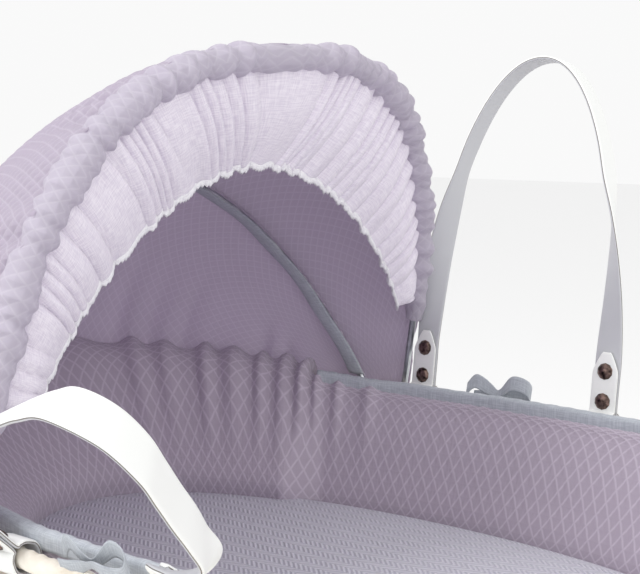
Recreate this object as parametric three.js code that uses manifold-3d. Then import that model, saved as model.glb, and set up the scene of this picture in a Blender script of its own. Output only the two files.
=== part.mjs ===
// A dressed moses basket on its folding wooden stand, in millimetres, +Z up.
//
// X runs along the basket: the head and its hood are at -X, the foot is at +X. The far side is +Y.
// Heights inside the basket are counted from the rim, whose height is RIM_Z, and become real
// heights when a piece is placed. The origin is on the floor, in the middle of the whole outline.

import * as THREE from 'three';
import { mergeVertices } from 'three/addons/utils/BufferGeometryUtils.js';
import Module from 'manifold-3d';

const wasm = await Module();
wasm.setup();

// ---------------------------------------------------------------- driving dimensions

const GAP = 0.3;            // between pieces that touch

// Basket
const RIM_LENGTH = 840;
const RIM_WIDTH = 480;
const OVAL_POWER = 2.2;     // 2 is an ellipse, more is squarer
const DEPTH = 190;          // rim to underside
const WALL = 8;
const BASE_INSET = 70;      // how far the wall leans in from rim to base
const HEAD_RISE = 34;       // how much higher the rim is at its two ends
const RISE_START = 50;      // from the middle to where that rise starts
const RISE_DEEP = 155;      // below the rim the wall is level from here down
const BORDER_R = 7;         // plaited cane round the rim
const BORDER_DROP = 9;      // its centre below the rim line
const BORDER_IN = 4;        // its centre inside the wall's outer face
const BOARD = 8;            // base board

// Liner and mattress
const LINER_CLEAR = 1.4;    // its top edge inside the handle loops
const LINER_TOP_THICK = 7;
const LINER_FLOOR = 15;
const BINDING_HIGH = 11;
const BINDING_TOP = 4;      // above the rim line
const BINDING_HEAD_X = -175;  // it starts and ends here
const MATTRESS_HALF = 166;
const MATTRESS_TOP = -90;
const MATTRESS_EDGE = 14;   // rounding of its top and bottom edges

// Stand
const STAND_TOP = 480;      // the basket's underside above the floor
const LEG_WIDE = 38;
const LEG_THICK = 20;
const INNER_FACE_Y = 205;   // inner face of the inner frame's legs
const FRAME_GAP = 3;        // between the two frames, where the washers are
const FOOT_X = 270;
const RAIL_X = 210;
const RAIL_R = 13;
const STRETCHER_R = 10;
const STRETCHER_Z = 110;
const LEG_PAST_RAIL = 95;   // the tips that stand beside the basket
const PAD = 4;              // rubber foot
const BOLT_R = 4;
const WEBBING_WIDE = 32;
const WEBBING_THICK = 2;
const WEBBING_Y = 95;

// Handles
const HANDLE_SPACING = 180;
const HANDLE_HIGH = 307;    // above the border's centre
const HANDLE_POWER = 2.05;
const HANDLE_SKEW = 8;      // how far its crown has moved towards the foot
const STRAP_WIDE = 23;
const STRAP_THICK = 3;
const LOOP_CLEAR = 2.6;       // round the border
const TAB_HIGH = 57.5;
const RIVET_LOW = 20.5;
const LEGS_MEET = 13.4;      // where the two layers come together above the border
const RIVET_PITCH = 25;
const RIVET_HEAD_R = 7;
const RIVET_SHANK_R = 2.2;
const FAR_LEAN = 11;        // outwards from upright, in degrees
const NEAR_LEAN = 42.6;
const FAR_TWIST = 90;       // how far the strap turns between a tab and the crown
const NEAR_TWIST = 113;
const TWIST_OVER = 4;       // stations over which it turns

// Hood
const PIVOT_X = -130;
const PIVOT_DROP = 60;      // below the rim line
const WIRE_R = 3;
const HOOP_CLEAR = 3;       // between the middle hoop and the outside of the rim
const HOOP_STEP = 6.5;      // the front hoop's pivots outside the middle hoop's
const FRONT_HOOP = { lean: 12.3, high: 371, power: 2.9 };
const MID_HOOP = { lean: -26.5, high: 313, power: 2.3 };
const FRILL_EDGE = { x: -103, lean: 5.5, high: 225, power: 1.79 };
const FRILL_IN = 12;        // its ends inside the border's centre line
const CLOTH = 2;
const CLOTH_OUT = 5.5;      // the hood's cloth outside its wires
const CASING_R = 9;
const CAP_R = 7;
const PIN_R = 2.5;
const TAPE_WIDE = 14;

// ---------------------------------------------------------------- derived places

const RIM_Z = STAND_TOP + DEPTH;
const STRETCH = (RIM_LENGTH - RIM_WIDTH) / 2;   // an oval's half length less its half width
const BORDER_HALF = RIM_WIDTH / 2 - BORDER_IN;
const LINER_TOP = BORDER_HALF - BORDER_R - LOOP_CLEAR - STRAP_THICK - LINER_CLEAR;
const MID_REACH = 25;       // how far behind its pivots the middle hoop passes the rim
MID_HOOP.half = ovalY(BORDER_HALF + BORDER_R, PIVOT_X - MID_REACH) + WIRE_R + HOOP_CLEAR;
FRONT_HOOP.half = MID_HOOP.half + HOOP_STEP;
FRILL_EDGE.half = BORDER_HALF - FRILL_IN;
const WALL_TOP = -BORDER_DROP - BORDER_R - STRAP_THICK - LOOP_CLEAR - 0.8;
const WALL_LEVELS = [-DEPTH * 0.4, -DEPTH * 0.7];
const PIVOT_Z = RIM_Z - PIVOT_DROP;
const OUTER_FACE_Y = INNER_FACE_Y + LEG_THICK + FRAME_GAP;
const RAIL_Z = STAND_TOP - GAP - WEBBING_THICK - GAP - RAIL_R;
const STAND_PIVOT_Z = RAIL_Z * FOOT_X / (FOOT_X + RAIL_X);
const HOLE_R = BOLT_R + GAP;

const radians = THREE.MathUtils.degToRad;

const WOOD = [0xd9b98c, 0.5, 0];
const RUBBER = [0x2b2b2d, 0.9, 0];
const STEEL = [0xb9bcc0, 0.3, 1];
const BRONZE = [0x6b5a57, 0.4, 1];
const WICKER = [0xf0eadf, 0.7, 0];
const QUILT = [0xa493a6, 0.9, 0];
const LINEN = [0xd8d2e0, 0.9, 0];
const TAPE = [0x9da3aa, 0.85, 0];
const KNIT = [0xa9a7b5, 0.9, 0];
const LEATHERETTE = [0xf2f2ef, 0.45, 0];
const PLASTIC = [0xe6e4e2, 0.5, 0];
const WEB = [0xe3ded6, 0.9, 0];

const bassinet = new THREE.Group();
bassinet.name = 'bassinet_on_stand';

// ---------------------------------------------------------------- making solids

// A closed solid with shared corners, no slivers and its faces outwards.
function closed(geometry) {
  const bare = new THREE.BufferGeometry();
  bare.setAttribute('position', geometry.getAttribute('position').clone());
  if (geometry.index) bare.setIndex(geometry.index.clone());
  const merged = mergeVertices(bare, 1e-3);
  const at = merged.getAttribute('position');
  const corners = merged.index.array;
  const kept = [];
  const a = new THREE.Vector3();
  const b = new THREE.Vector3();
  const c = new THREE.Vector3();
  let volume = 0;
  for (let i = 0; i < corners.length; i += 3) {
    const [p, q, r] = [corners[i], corners[i + 1], corners[i + 2]];
    if (p === q || q === r || r === p) continue;
    kept.push(p, q, r);
    a.fromBufferAttribute(at, p);
    b.fromBufferAttribute(at, q);
    c.fromBufferAttribute(at, r);
    volume += a.dot(b.cross(c));
  }
  if (volume < 0) kept.reverse();
  merged.setIndex(kept);
  return merged;
}

// The same solid with every point moved to place(x, y, z).
function warp(geometry, place) {
  const at = geometry.getAttribute('position');
  for (let i = 0; i < at.count; i++) {
    const p = place(at.getX(i), at.getY(i), at.getZ(i));
    at.setXYZ(i, p.x, p.y, p.z);
  }
  return closed(geometry);
}

function add(name, geometry, [color, roughness, metalness]) {
  const material = new THREE.MeshStandardMaterial({ color, roughness, metalness });
  geometry.computeVertexNormals();
  const mesh = new THREE.Mesh(geometry, material);
  mesh.name = name;
  bassinet.add(mesh);
  return mesh;
}

// A turned piece whose axis lies along Y. The profile is [radius, distance along the axis].
function turned(profile, segments, [x, y, z], side = 1) {
  const points = profile.map(([r, along]) => new THREE.Vector2(r, along));
  const geometry = new THREE.LatheGeometry(points, segments);
  return warp(geometry, (px, py, pz) => new THREE.Vector3(x + px, y + side * py, z + pz));
}

function toManifold(geometry) {
  const g = closed(geometry);
  const mesh = new wasm.Mesh({
    numProp: 3,
    vertProperties: new Float32Array(g.getAttribute('position').array),
    triVerts: new Uint32Array(g.index.array),
  });
  return new wasm.Manifold(mesh);
}

function cut(geometry, tools) {
  let solid = toManifold(geometry);
  for (const tool of tools) solid = solid.subtract(toManifold(tool));
  const mesh = solid.getMesh();
  const result = new THREE.BufferGeometry();
  result.setAttribute('position', new THREE.BufferAttribute(mesh.vertProperties, 3));
  result.setIndex([...mesh.triVerts]);
  return result;
}

// ---------------------------------------------------------------- the basket's oval

function signedPower(value, power) {
  return Math.sign(value) * Math.abs(value) ** power;
}

// The point at an angle on the oval whose half width is half.
function ovalPoint(half, angle) {
  const x = (half + STRETCH) * signedPower(Math.cos(angle), 2 / OVAL_POWER);
  const y = half * signedPower(Math.sin(angle), 2 / OVAL_POWER);
  return [x, y];
}

// A turned point moved on to the basket's oval. The middle stays in the middle.
function ontoOval(px, pz) {
  const half = Math.hypot(px, pz);
  return half < 1e-6 ? [0, 0] : ovalPoint(half, Math.atan2(pz, px));
}

// The half width of that oval at x.
function ovalY(half, x) {
  const share = Math.min(1, Math.abs(x) / (half + STRETCH));
  return half * (1 - share ** OVAL_POWER) ** (1 / OVAL_POWER);
}

// The angle at which that oval reaches x, on the far side.
function ovalAngle(half, x) {
  return Math.acos(signedPower(x / (half + STRETCH), OVAL_POWER / 2));
}

// The wall is higher at the head and foot, and level along its base.
function rise(x, z) {
  const along = Math.max(0, Math.abs(x) - RISE_START) / (RIM_LENGTH / 2 - RISE_START);
  const up = THREE.MathUtils.clamp(1 + z / RISE_DEEP, 0, 1);
  return HEAD_RISE * along ** 2 * up;
}

function wallHalf(z) {
  return RIM_WIDTH / 2 + BASE_INSET * z / DEPTH;
}

// A ring or bowl round the basket. The profile is [half width, height from the rim].
function ovalSolid(profile, segments) {
  const points = profile.map(([half, z]) => new THREE.Vector2(half, z));
  const geometry = new THREE.LatheGeometry(points, segments);
  return warp(geometry, (px, py, pz) => {
    const [x, y] = ontoOval(px, pz);
    return new THREE.Vector3(x, y, RIM_Z + py + rise(x, py));
  });
}

function circle(cx, cy, r, count) {
  const points = [];
  for (let i = 0; i <= count; i++) {
    const a = -2 * Math.PI * (i % count) / count;
    points.push([cx + r * Math.cos(a), cy + r * Math.sin(a)]);
  }
  return points;
}

function basket() {
  const levels = [WALL_TOP, ...WALL_LEVELS, -DEPTH];
  const outer = levels.map((z) => [wallHalf(z), z]);
  const inner = levels.map((z) => [wallHalf(z) - WALL, z]).reverse();
  add('basket_wall', ovalSolid([...outer, ...inner, outer[0]], 48), WICKER);
  const board = wallHalf(-DEPTH) - WALL - GAP;
  const top = BOARD - DEPTH;
  add('base_board', ovalSolid([[0, -DEPTH], [board, -DEPTH], [board, top], [0, top]], 48), WOOD);
  add('rim_border', ovalSolid(circle(BORDER_HALF, -BORDER_DROP, BORDER_R, 8), 48), WICKER);
}

function liner() {
  const floor = BOARD - DEPTH + GAP;
  const outerFoot = wallHalf(floor) - WALL - 1;
  const shoulder = WALL_TOP - 12;
  const topZ = BINDING_TOP - BINDING_HIGH - GAP;
  const innerTop = LINER_TOP - LINER_TOP_THICK;
  const seat = MATTRESS_HALF + 1.5;
  const profile = [
    [0, floor],
    [outerFoot, floor],
    ...WALL_LEVELS.map((z) => [wallHalf(z) - WALL - 1, z]).reverse(),
    [wallHalf(shoulder) - WALL - 1, shoulder],
    [LINER_TOP, topZ],
    [innerTop, topZ],
    [innerTop - 14, topZ - 25],
    [(innerTop + seat) / 2 - 4, (topZ + MATTRESS_TOP) / 2],
    [seat + 6, MATTRESS_TOP],
    [seat, MATTRESS_TOP - MATTRESS_EDGE],
    [seat, floor + LINER_FLOOR],
    [0, floor + LINER_FLOOR],
  ];
  add('padded_liner', ovalSolid(profile, 48), QUILT);

  // The binding runs from the far side of the head, round the foot, to the near side.
  const centre = LINER_TOP - LINER_TOP_THICK / 2;
  const from = ovalAngle(centre, BINDING_HEAD_X);
  const w = LINER_TOP_THICK / 2;
  const bottom = BINDING_TOP - BINDING_HIGH;
  const section = new THREE.Shape();
  section.moveTo(-w, bottom);
  section.lineTo(w, bottom);
  section.lineTo(w, BINDING_TOP - 2);
  section.lineTo(w - 2, BINDING_TOP);
  section.lineTo(2 - w, BINDING_TOP);
  section.lineTo(-w, BINDING_TOP - 2);
  section.closePath();
  const bar = new THREE.ExtrudeGeometry(section, { depth: 1, steps: 48, bevelEnabled: false });
  add('liner_binding', warp(bar, (px, py, pz) => {
    const [x, y] = ovalPoint(centre + px, from * (1 - 2 * pz));
    return new THREE.Vector3(x, y, RIM_Z + py + rise(x, py));
  }), TAPE);
}

function mattress() {
  const bottom = BOARD - DEPTH + LINER_FLOOR + 3 * GAP;
  const e = MATTRESS_EDGE;
  const h = MATTRESS_HALF;
  const q = e * (1 - Math.SQRT1_2);
  const profile = [
    [0, bottom], [h - e / 2, bottom], [h, bottom + e / 2],
    [h, MATTRESS_TOP - e], [h - q, MATTRESS_TOP - q], [h - e, MATTRESS_TOP], [0, MATTRESS_TOP],
  ];
  const points = profile.map(([half, z]) => new THREE.Vector2(half, z));
  const geometry = new THREE.LatheGeometry(points, 48);
  add('mattress', warp(geometry, (px, py, pz) => {
    const [x, y] = ontoOval(px, pz);
    return new THREE.Vector3(x, y, RIM_Z + py);
  }), KNIT);
}

// A flattened ribbon bow that sits behind the binding, half way between the handle's ends.
function bow(name, side) {
  const long = 62;
  const outline = new THREE.Shape();
  outline.moveTo(-long / 2, 2);
  outline.lineTo(-6, 0);
  outline.lineTo(6, 0);
  outline.lineTo(long / 2, 1);
  outline.lineTo(long / 2, 15);
  outline.lineTo(6, 11);
  outline.lineTo(-6, 11);
  outline.lineTo(-long / 2, 13);
  outline.closePath();
  const solid = new THREE.ExtrudeGeometry(outline, { depth: 12, bevelEnabled: false });
  const middle = -12;
  const y = ovalY(BORDER_HALF, middle) - 6;
  const z = RIM_Z - BORDER_DROP + BORDER_R + 1;
  const place = (px, py, pz) => new THREE.Vector3(middle + px, side * (y + pz), z + py);
  add(name, warp(solid, place), TAPE);
}

// ---------------------------------------------------------------- the stand

// One leg of a frame, from the foot at footX up through the rail at railX, with a round tip.
function leg(name, footX, railX, y, colour) {
  const along = new THREE.Vector2(railX - footX, RAIL_Z).normalize();
  const across = new THREE.Vector2(-along.y, along.x);
  const rail = new THREE.Vector2(railX, RAIL_Z);
  const tip = rail.clone().addScaledVector(along, LEG_PAST_RAIL - LEG_WIDE / 2);
  const half = LEG_WIDE / 2;
  const cutZ = PAD + GAP;
  const atFoot = (s) => {
    const edge = rail.clone().addScaledVector(across, s * half);
    return edge.addScaledVector(along, (cutZ - edge.y) / along.y);
  };
  const outline = new THREE.Shape();
  outline.moveTo(atFoot(1).x, cutZ);
  outline.lineTo(atFoot(-1).x, cutZ);
  const start = Math.atan2(-across.y, -across.x);
  outline.absarc(tip.x, tip.y, half, start, start + Math.PI, false);
  outline.closePath();
  const hole = new THREE.Path();
  hole.absarc(0, STAND_PIVOT_Z, HOLE_R, 0, 2 * Math.PI, true);
  outline.holes.push(hole);
  const options = { depth: LEG_THICK, bevelEnabled: false, curveSegments: 10 };
  const bar = new THREE.ExtrudeGeometry(outline, options);
  add(name, warp(bar, (px, py, pz) => new THREE.Vector3(px, y + pz, py)), colour);
  return [atFoot(-1).x, atFoot(1).x];
}

function pad(name, [from, to], y) {
  const r = 4;
  const low = Math.min(from, to) + 1;
  const high = Math.max(from, to) - 1;
  const near = y + 1;
  const far = y + LEG_THICK - 1;
  const outline = new THREE.Shape();
  outline.moveTo(low + r, near);
  outline.absarc(high - r, near + r, r, -Math.PI / 2, 0, false);
  outline.absarc(high - r, far - r, r, 0, Math.PI / 2, false);
  outline.absarc(low + r, far - r, r, Math.PI / 2, Math.PI, false);
  outline.absarc(low + r, near + r, r, Math.PI, 1.5 * Math.PI, false);
  const options = { depth: PAD, bevelEnabled: false, curveSegments: 3 };
  add(name, closed(new THREE.ExtrudeGeometry(outline, options)), RUBBER);
}

function dowel(name, r, x, z, halfLong) {
  const profile = [[0, -halfLong], [r, -halfLong], [r, halfLong], [0, halfLong]];
  add(name, turned(profile, 20, [x, 0, z]), WOOD);
}

function frame(name, innerY, dir) {
  const ends = [['far', innerY], ['near', -innerY - LEG_THICK]];
  for (const [side, y] of ends) {
    const foot = leg(`${name}_leg_${side}`, dir * FOOT_X, -dir * RAIL_X, y, WOOD);
    pad(`${name}_foot_${side}`, foot, y);
  }
  const stretcherX = dir * (FOOT_X - STRETCHER_Z * (FOOT_X + RAIL_X) / RAIL_Z);
  dowel(`${name}_top_rail`, RAIL_R, -dir * RAIL_X, RAIL_Z, innerY - GAP);
  dowel(`${name}_stretcher`, STRETCHER_R, stretcherX, STRETCHER_Z, innerY - GAP);
}

// The bolt goes through both legs; its cap nut is on the inside.
function standPivot(name, side) {
  const outside = OUTER_FACE_Y + LEG_THICK + GAP;
  const inside = INNER_FACE_Y - GAP;
  const headR = 9;
  const nutLong = 8;
  const bolt = [
    [0, inside - nutLong], [BOLT_R, inside - nutLong], [BOLT_R, outside],
    [headR, outside], [headR, outside + 2], [headR * 0.7, outside + 4.5], [0, outside + 5.5],
  ];
  add(`pivot_bolt_${name}`, turned(bolt, 16, [0, 0, STAND_PIVOT_Z], side), STEEL);
  const nutR = 7.5;
  const nut = [
    [HOLE_R, inside], [nutR, inside], [nutR, inside - nutLong + 2], [HOLE_R, inside - nutLong + 2],
    [HOLE_R, inside],
  ];
  add(`pivot_nut_${name}`, turned(nut, 12, [0, 0, STAND_PIVOT_Z], side), STEEL);
  const low = INNER_FACE_Y + LEG_THICK + GAP;
  const high = OUTER_FACE_Y - GAP;
  const washer = [[HOLE_R, low], [HOLE_R + 7, low], [HOLE_R + 7, high], [HOLE_R, high], [HOLE_R, low]];
  add(`pivot_washer_${name}`, turned(washer, 16, [0, 0, STAND_PIVOT_Z], side), PLASTIC);
}

// A taut webbing strap that holds the two top rails together and stops the frame from opening.
function webbing(name, middle) {
  const inner = RAIL_R + GAP;
  const outer = inner + WEBBING_THICK;
  const meet = Math.asin(inner / outer);
  const outline = new THREE.Shape();
  outline.moveTo(-RAIL_X, outer);
  outline.lineTo(RAIL_X, outer);
  outline.absarc(RAIL_X, 0, outer, Math.PI / 2, -Math.PI - meet, true);
  outline.absarc(-RAIL_X, 0, outer, meet, -1.5 * Math.PI, true);
  outline.closePath();
  for (const x of [-RAIL_X, RAIL_X]) {
    const hole = new THREE.Path();
    hole.absarc(x, 0, inner, 0, 2 * Math.PI, false);
    outline.holes.push(hole);
  }
  const options = { depth: WEBBING_WIDE, bevelEnabled: false, curveSegments: 12 };
  const solid = new THREE.ExtrudeGeometry(outline, options);
  const y = middle - WEBBING_WIDE / 2;
  add(name, warp(solid, (px, py, pz) => new THREE.Vector3(px, y + pz, RAIL_Z + py)), WEB);
}

// ---------------------------------------------------------------- the handles

// The strap's middle line from one riveted tab, round the border, over the top and down again.
// Each station has its place and the direction of the strap's width, in the handle's own plane:
// x along the basket, y outwards, z up from the middle of the border.
function strapStations(arch, twist) {
  const half = HANDLE_SPACING / 2;
  const layer = STRAP_THICK / 2 + GAP;
  const loop = BORDER_R + LOOP_CLEAR + STRAP_THICK / 2;
  const bend = [layer + 2.6, LEGS_MEET - 2.7];
  const end = [[-layer, TAB_HIGH], [-layer, LEGS_MEET], [-bend[0], bend[1]]];
  for (let i = 0; i <= 6; i++) {
    const a = radians(135 + 45 * i);
    end.push([loop * Math.cos(a), loop * Math.sin(a)]);
  }
  end.push(bend, [layer, LEGS_MEET], [layer, TAB_HIGH]);
  const width = new THREE.Vector3(1, 0, 0);
  const first = end.map(([y, z]) => ({ at: new THREE.Vector3(-half, y, z), width: width.clone() }));
  const last = end.map(([y, z]) => ({ at: new THREE.Vector3(half, y, z), width: width.clone().negate() }));
  last.reverse();
  const middle = [];
  const count = arch.length;
  for (let i = 1; i < count - 1; i++) {
    const [x, z] = arch[i];
    const turn = radians(twist) * Math.min(1, Math.min(i, count - 1 - i) / TWIST_OVER);
    const ahead = new THREE.Vector3(arch[i + 1][0] - arch[i - 1][0], 0, arch[i + 1][1] - arch[i - 1][1]);
    const w = ahead.normalize().cross(new THREE.Vector3(0, -1, 0)).multiplyScalar(Math.cos(turn));
    w.y = Math.sin(turn);
    middle.push({ at: new THREE.Vector3(x, layer, z), width: w });
  }
  return [...first, ...middle, ...last];
}

function strap(stations, place) {
  const w = STRAP_WIDE / 2;
  const t = STRAP_THICK / 2;
  const section = new THREE.Shape();
  section.moveTo(-w, -t);
  section.lineTo(w, -t);
  section.lineTo(w, t);
  section.lineTo(-w, t);
  section.closePath();
  const count = stations.length - 1;
  const bar = new THREE.ExtrudeGeometry(section, { depth: count, steps: count, bevelEnabled: false });
  const solid = warp(bar, (px, py, pz) => {
    const k = Math.round(pz);
    const here = stations[k];
    const ahead = stations[Math.min(count, k + 1)].at.clone();
    const along = ahead.sub(stations[Math.max(0, k - 1)].at).normalize();
    const wide = here.width.clone().addScaledVector(along, -along.dot(here.width)).normalize();
    const thick = along.cross(wide);
    return here.at.clone().addScaledVector(wide, px).addScaledVector(thick, py);
  });
  const holes = [];
  for (const x of [-HANDLE_SPACING / 2, HANDLE_SPACING / 2]) {
    for (const z of [RIVET_LOW, RIVET_LOW + RIVET_PITCH]) {
      const r = RIVET_SHANK_R + GAP;
      holes.push(turned([[0, -5], [r, -5], [r, 5], [0, 5]], 10, [x, 0, z]));
    }
  }
  return warp(cut(solid, holes), place);
}

function handle(name, side, lean, twist, arch) {
  const axisY = ovalY(BORDER_HALF, HANDLE_SPACING / 2);
  const axisZ = RIM_Z - BORDER_DROP + rise(HANDLE_SPACING / 2, -BORDER_DROP);
  const c = Math.cos(radians(lean));
  const s = Math.sin(radians(lean));
  const place = (x, y, z) => {
    const out = axisY + y * c + z * s;
    return new THREE.Vector3(x, side * out, axisZ - y * s + z * c);
  };
  add(`handle_strap_${name}`, strap(strapStations(arch, twist), place), LEATHERETTE);
  const face = STRAP_THICK + 2 * GAP;
  const r = RIVET_HEAD_R;
  const ends = [['head', -HANDLE_SPACING / 2], ['foot', HANDLE_SPACING / 2]];
  for (const [end, x] of ends) {
    for (const [row, z] of [['lower', RIVET_LOW], ['upper', RIVET_LOW + RIVET_PITCH]]) {
      const profile = [
        [0, -face - 3], [r * 0.7, -face - 2], [r, -face], [RIVET_SHANK_R, -face],
        [RIVET_SHANK_R, face], [r, face], [r * 0.7, face + 2], [0, face + 3],
      ];
      const rivet = turned(profile, 10, [x, 0, z]);
      add(`rivet_${name}_${end}_${row}`, warp(rivet, place), BRONZE);
    }
  }
}

// The far handle stands up as a tall arch.
function uprightArch() {
  const points = [];
  const count = 20;
  for (let i = 0; i <= count; i++) {
    const t = Math.PI * (1 - i / count);
    const x = HANDLE_SPACING / 2 * signedPower(Math.cos(t), 2 / HANDLE_POWER);
    const z = TAB_HIGH + (HANDLE_HIGH - TAB_HIGH) * Math.sin(t) ** (2 / HANDLE_POWER);
    const up = (z - TAB_HIGH) / (HANDLE_HIGH - TAB_HIGH);
    points.push([x + HANDLE_SKEW * up ** 2, z]);
  }
  return points;
}

// The near handle has flopped outwards and towards the foot.
function floppedArch() {
  const half = HANDLE_SPACING / 2;
  const chosen = [
    [-half, TAB_HIGH], [-82, 84], [-40, 128], [40, 178], [105, 213], [142, 231], [163, 238],
    [180, 231], [185, 205], [174, 166], [162, 123], [145, 92], [116, 72], [half, TAB_HIGH],
  ];
  const curve = new THREE.CatmullRomCurve3(chosen.map(([x, z]) => new THREE.Vector3(x, 0, z)));
  return curve.getSpacedPoints(24).map((p) => [p.x, p.z]);
}

// ---------------------------------------------------------------- the hood

// A point on a hoop that swings about the hood's pivots. turn runs from 0, far, to PI, near.
function hoopPoint({ lean, high, half, power }, turn, out = 0) {
  const y = (half + out) * signedPower(Math.cos(turn), 2 / power);
  const up = (high + out) * Math.abs(Math.sin(turn)) ** (2 / power);
  const a = radians(lean);
  return new THREE.Vector3(PIVOT_X + up * Math.sin(a), y, PIVOT_Z + up * Math.cos(a));
}

// The turn at which a hoop is that far above its pivots.
function hoopTurn({ high, power }, up) {
  return Math.asin((up / high) ** (power / 2));
}

function frillEdge(turn) {
  const { x, lean, high, half, power } = FRILL_EDGE;
  const y = half * signedPower(Math.cos(turn), 2 / power);
  const up = high * Math.abs(Math.sin(turn)) ** (2 / power);
  const a = radians(lean);
  return new THREE.Vector3(x + up * Math.sin(a), y, RIM_Z + up * Math.cos(a));
}

// A bar of a round or flat section along a hoop, between two turns.
function alongHoop(shape, steps, from, to, at) {
  const bar = new THREE.ExtrudeGeometry(shape, { depth: 1, steps, bevelEnabled: false });
  const small = 0.01;
  return warp(bar, (px, py, pz) => {
    const turn = from + (to - from) * pz;
    const here = at(turn);
    const along = at(turn + small).sub(at(turn - small)).normalize();
    const side = new THREE.Vector3(1, 0, 0);
    side.addScaledVector(along, -along.x).normalize();
    const out = along.clone().cross(side).normalize();
    return here.addScaledVector(side, px).addScaledVector(out, py);
  });
}

function round(r, segments) {
  const shape = new THREE.Shape();
  for (let i = 0; i < segments; i++) {
    const a = 2 * Math.PI * i / segments;
    if (i === 0) shape.moveTo(r, 0);
    else shape.lineTo(r * Math.cos(a), r * Math.sin(a));
  }
  shape.closePath();
  return shape;
}

// A thin closed sheet whose middle surface is at(u, v), with u and v from 0 to 1.
function clothSheet(at, stepsU, stepsV) {
  const box = new THREE.BoxGeometry(1, 1, 1, stepsU, stepsV, 1);
  const d = 0.004;
  return warp(box, (px, py, pz) => {
    const u = px + 0.5;
    const v = py + 0.5;
    const du = at(Math.min(1, u + d), v).sub(at(Math.max(0, u - d), v));
    const dv = at(u, Math.min(1, v + d)).sub(at(u, Math.max(0, v - d)));
    const out = du.cross(dv).normalize();
    return at(u, v).addScaledVector(out, pz * CLOTH);
  });
}

function hoop(name, size) {
  const from = hoopTurn(size, CAP_R + 3);
  const wire = alongHoop(round(WIRE_R, 8), 32, from, Math.PI - from, (turn) => hoopPoint(size, turn));
  add(`${name}_hoop`, wire, STEEL);
  for (const [end, side] of [['far', 1], ['near', -1]]) {
    const low = size.half - 2.7;
    const high = size.half + 2.7;
    const hole = PIN_R + GAP;
    const ring = [[hole, low], [CAP_R, low], [CAP_R, high], [hole, high], [hole, low]];
    add(`${name}_hoop_eye_${end}`, turned(ring, 14, [PIVOT_X, 0, PIVOT_Z], side), PLASTIC);
  }
}

// The socket is fixed to the wall, and its pin carries the eyes of both hoops.
function hoodPivot(name, side) {
  const wallY = ovalY(wallHalf(-PIVOT_DROP), PIVOT_X);
  const socketEnd = MID_HOOP.half - 2.7 - 2 * GAP;
  const start = wallY + 5.5;
  const hole = PIN_R + GAP;
  const socket = [[hole, start], [12, start], [9, socketEnd], [hole, socketEnd], [hole, start]];
  add(`hood_socket_${name}`, turned(socket, 16, [PIVOT_X, 0, PIVOT_Z], side), PLASTIC);
  const head = FRONT_HOOP.half + 2.7 + 2 * GAP;
  const pin = [
    [0, start + 4], [PIN_R, start + 4], [PIN_R, head], [6, head], [6, head + 2], [0, head + 3.5],
  ];
  add(`hood_pin_${name}`, turned(pin, 14, [PIVOT_X, 0, PIVOT_Z], side), STEEL);
}

// The cloth from the middle hoop to the front hoop.
function frontPanel() {
  const low = 26;
  const at = (u, v) => {
    const mix = (a, b) => a + (b - a) * v;
    const size = {
      lean: mix(MID_HOOP.lean, FRONT_HOOP.lean),
      high: mix(MID_HOOP.high, FRONT_HOOP.high),
      half: mix(MID_HOOP.half + 3, FRONT_HOOP.half),
      power: mix(MID_HOOP.power, FRONT_HOOP.power),
    };
    const from = hoopTurn(size, low);
    const p = hoopPoint(size, from + (Math.PI - 2 * from) * u, CLOTH_OUT);
    p.x -= v * (CASING_R + 2);
    return p;
  };
  add('hood_front_panel', clothSheet(at, 28, 5), QUILT);
}

// The cloth from the middle hoop back over the head and down outside the rim.
function backPanel() {
  const low = 26;
  const seam = 0.03;      // of its width, between it and the front panel
  const out = BORDER_HALF + BORDER_R + 7;
  const fromAngle = ovalAngle(out, PIVOT_X - 14);
  const at = (u, v) => {
    const from = hoopTurn(MID_HOOP, low);
    const top = hoopPoint(MID_HOOP, from + (Math.PI - 2 * from) * u, CLOTH_OUT);
    top.x -= 3;
    const angle = fromAngle + (2 * Math.PI - 2 * fromAngle) * u;
    const [x, y] = ovalPoint(out, angle);
    const lift = Math.sin(Math.PI * u) ** 0.5;
    const rim = new THREE.Vector3(x, y, RIM_Z - PIVOT_DROP + 16 + (PIVOT_DROP + 26) * lift);
    const hem = new THREE.Vector3(x, y, RIM_Z - PIVOT_DROP - 4 + 14 * lift);
    const w = seam + (1 - seam) * v;
    if (w > 0.8) return rim.lerp(hem, (w - 0.8) / 0.2);
    const s = w / 0.8;
    const bulge = 34 * lift;
    const control = top.clone().lerp(rim, 0.55);
    control.x -= bulge;
    control.z += bulge * 1.2;
    const first = top.clone().lerp(control, s);
    return first.lerp(control.clone().lerp(rim, s), s);
  };
  add('hood_back_panel', clothSheet(at, 28, 8), QUILT);
}

// The gathered roll of cloth that covers the front hoop.
function casing() {
  const size = { ...FRONT_HOOP, high: FRONT_HOOP.high + 1, half: FRONT_HOOP.half + 1 };
  const from = hoopTurn(size, PIVOT_DROP + 105);
  const inner = WIRE_R + GAP;
  const section = round(CASING_R, 12);
  const hole = new THREE.Path();
  for (let i = 0; i <= 8; i++) {
    const a = -2 * Math.PI * i / 8;
    if (i === 0) hole.moveTo(inner * 1.3, -1);
    else hole.lineTo(inner * 1.3 * Math.cos(a), inner * 1.3 * Math.sin(a) - 1);
  }
  section.holes.push(hole);
  const at = (turn) => hoopPoint(size, turn);
  add('hood_casing', alongHoop(section, 28, from, Math.PI - from, at), QUILT);
}

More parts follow.
